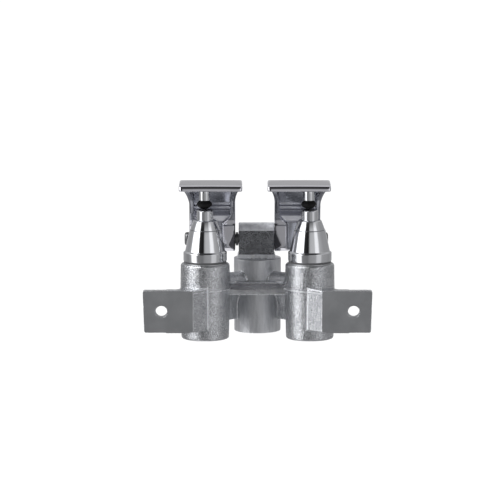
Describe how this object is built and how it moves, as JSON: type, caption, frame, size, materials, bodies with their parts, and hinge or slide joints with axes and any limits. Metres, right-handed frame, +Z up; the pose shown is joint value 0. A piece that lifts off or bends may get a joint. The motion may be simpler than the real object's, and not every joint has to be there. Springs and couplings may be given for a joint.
{
  "type": "double pedal valve",
  "caption": "Floor or wall mounted twin foot-pedal mixing valve: cast body with ports below, spring-closed plungers under tapered bonnets, and angle pedals on a common hinge axle.",
  "frame": {"origin": "middle of the valve in plan, on the plane of the three port faces that it stands on", "axes": "+X along the hinge axle towards the right pedal, +Y from the mounting face towards the hinge, +Z up along the plungers"},
  "size_m": [0.182, 0.0874, 0.124],
  "materials": {
    "cast_chrome": "sand-cast texture under satin chrome plate; ear faces machined flat",
    "polished_chrome": "polished chrome plate",
    "pin_steel": "plated steel",
    "bare_brass": "turned",
    "spring_steel": "drawn wire",
    "black_rubber": "moulded, slight sheen",
    "gasket_fibre": "pressed fibre",
    "nylon": "natural nylon"
  },
  "bodies": {
    "valve_body": {"valve_body": "cast_chrome", "hinge_axle": "pin_steel", "axle_cap_nut": "pin_steel", "axle_spacer_left": "pin_steel", "axle_spacer_right": "pin_steel", "left_seat_ring": "bare_brass", "left_bonnet_gasket": "gasket_fibre", "left_bonnet": "polished_chrome", "left_bonnet_cap": "polished_chrome", "left_spindle_o_ring": "black_rubber", "left_return_spring": "spring_steel", "right_seat_ring": "bare_brass", "right_bonnet_gasket": "gasket_fibre", "right_bonnet": "polished_chrome", "right_bonnet_cap": "polished_chrome", "right_spindle_o_ring": "black_rubber", "right_return_spring": "spring_steel"},
    "left_plunger": {"left_plunger": "polished_chrome", "left_spindle": "bare_brass", "left_valve_disc_holder": "bare_brass", "left_valve_seat_washer": "black_rubber", "left_spindle_nut": "bare_brass"},
    "left_hinge_bushes": {"left_hinge_bush_inner": "nylon", "left_hinge_bush_outer": "nylon"},
    "left_pedal": {"left_pedal": "polished_chrome", "left_pusher_pin": "polished_chrome", "left_pusher_bumper": "black_rubber"},
    "right_plunger": {"right_plunger": "polished_chrome", "right_spindle": "bare_brass", "right_valve_disc_holder": "bare_brass", "right_valve_seat_washer": "black_rubber", "right_spindle_nut": "bare_brass"},
    "right_hinge_bushes": {"right_hinge_bush_inner": "nylon", "right_hinge_bush_outer": "nylon"},
    "right_pedal": {"right_pedal": "polished_chrome", "right_pusher_pin": "polished_chrome", "right_pusher_bumper": "black_rubber"}
  },
  "joints": [
    {"name": "left_plunger_slide", "type": "slide", "parent": "valve_body", "child": "left_plunger", "axis": [0, 0, -1], "range_m": [0, 0.0046], "stiffness_N_per_m": 1800, "springref_m": -0.0055, "deforming": ["left_return_spring"]},
    {"name": "left_pedal_press", "type": "hinge", "parent": "valve_body", "child": "left_hinge_bushes", "pos_m": [0, 0.025, 0.0742], "axis": [1, 0, 0], "range_deg": [0, 6.6]},
    {"name": "left_pedal_lift", "type": "hinge", "parent": "left_hinge_bushes", "child": "left_pedal", "pos_m": [0, 0.025, 0.0742], "axis": [-1, 0, 0], "range_deg": [0, 85]},
    {"name": "right_plunger_slide", "type": "slide", "parent": "valve_body", "child": "right_plunger", "axis": [0, 0, -1], "range_m": [0, 0.0046], "stiffness_N_per_m": 1800, "springref_m": -0.0055, "deforming": ["right_return_spring"]},
    {"name": "right_pedal_press", "type": "hinge", "parent": "valve_body", "child": "right_hinge_bushes", "pos_m": [0, 0.025, 0.0742], "axis": [1, 0, 0], "range_deg": [0, 6.6]},
    {"name": "right_pedal_lift", "type": "hinge", "parent": "right_hinge_bushes", "child": "right_pedal", "pos_m": [0, 0.025, 0.0742], "axis": [-1, 0, 0], "range_deg": [0, 85]}
  ],
  "couplings": [
    {"joint": "left_pedal_press", "follows": "left_plunger_slide", "rad_per_m": 24.691},
    {"joint": "right_pedal_press", "follows": "right_plunger_slide", "rad_per_m": 24.691}
  ]
}
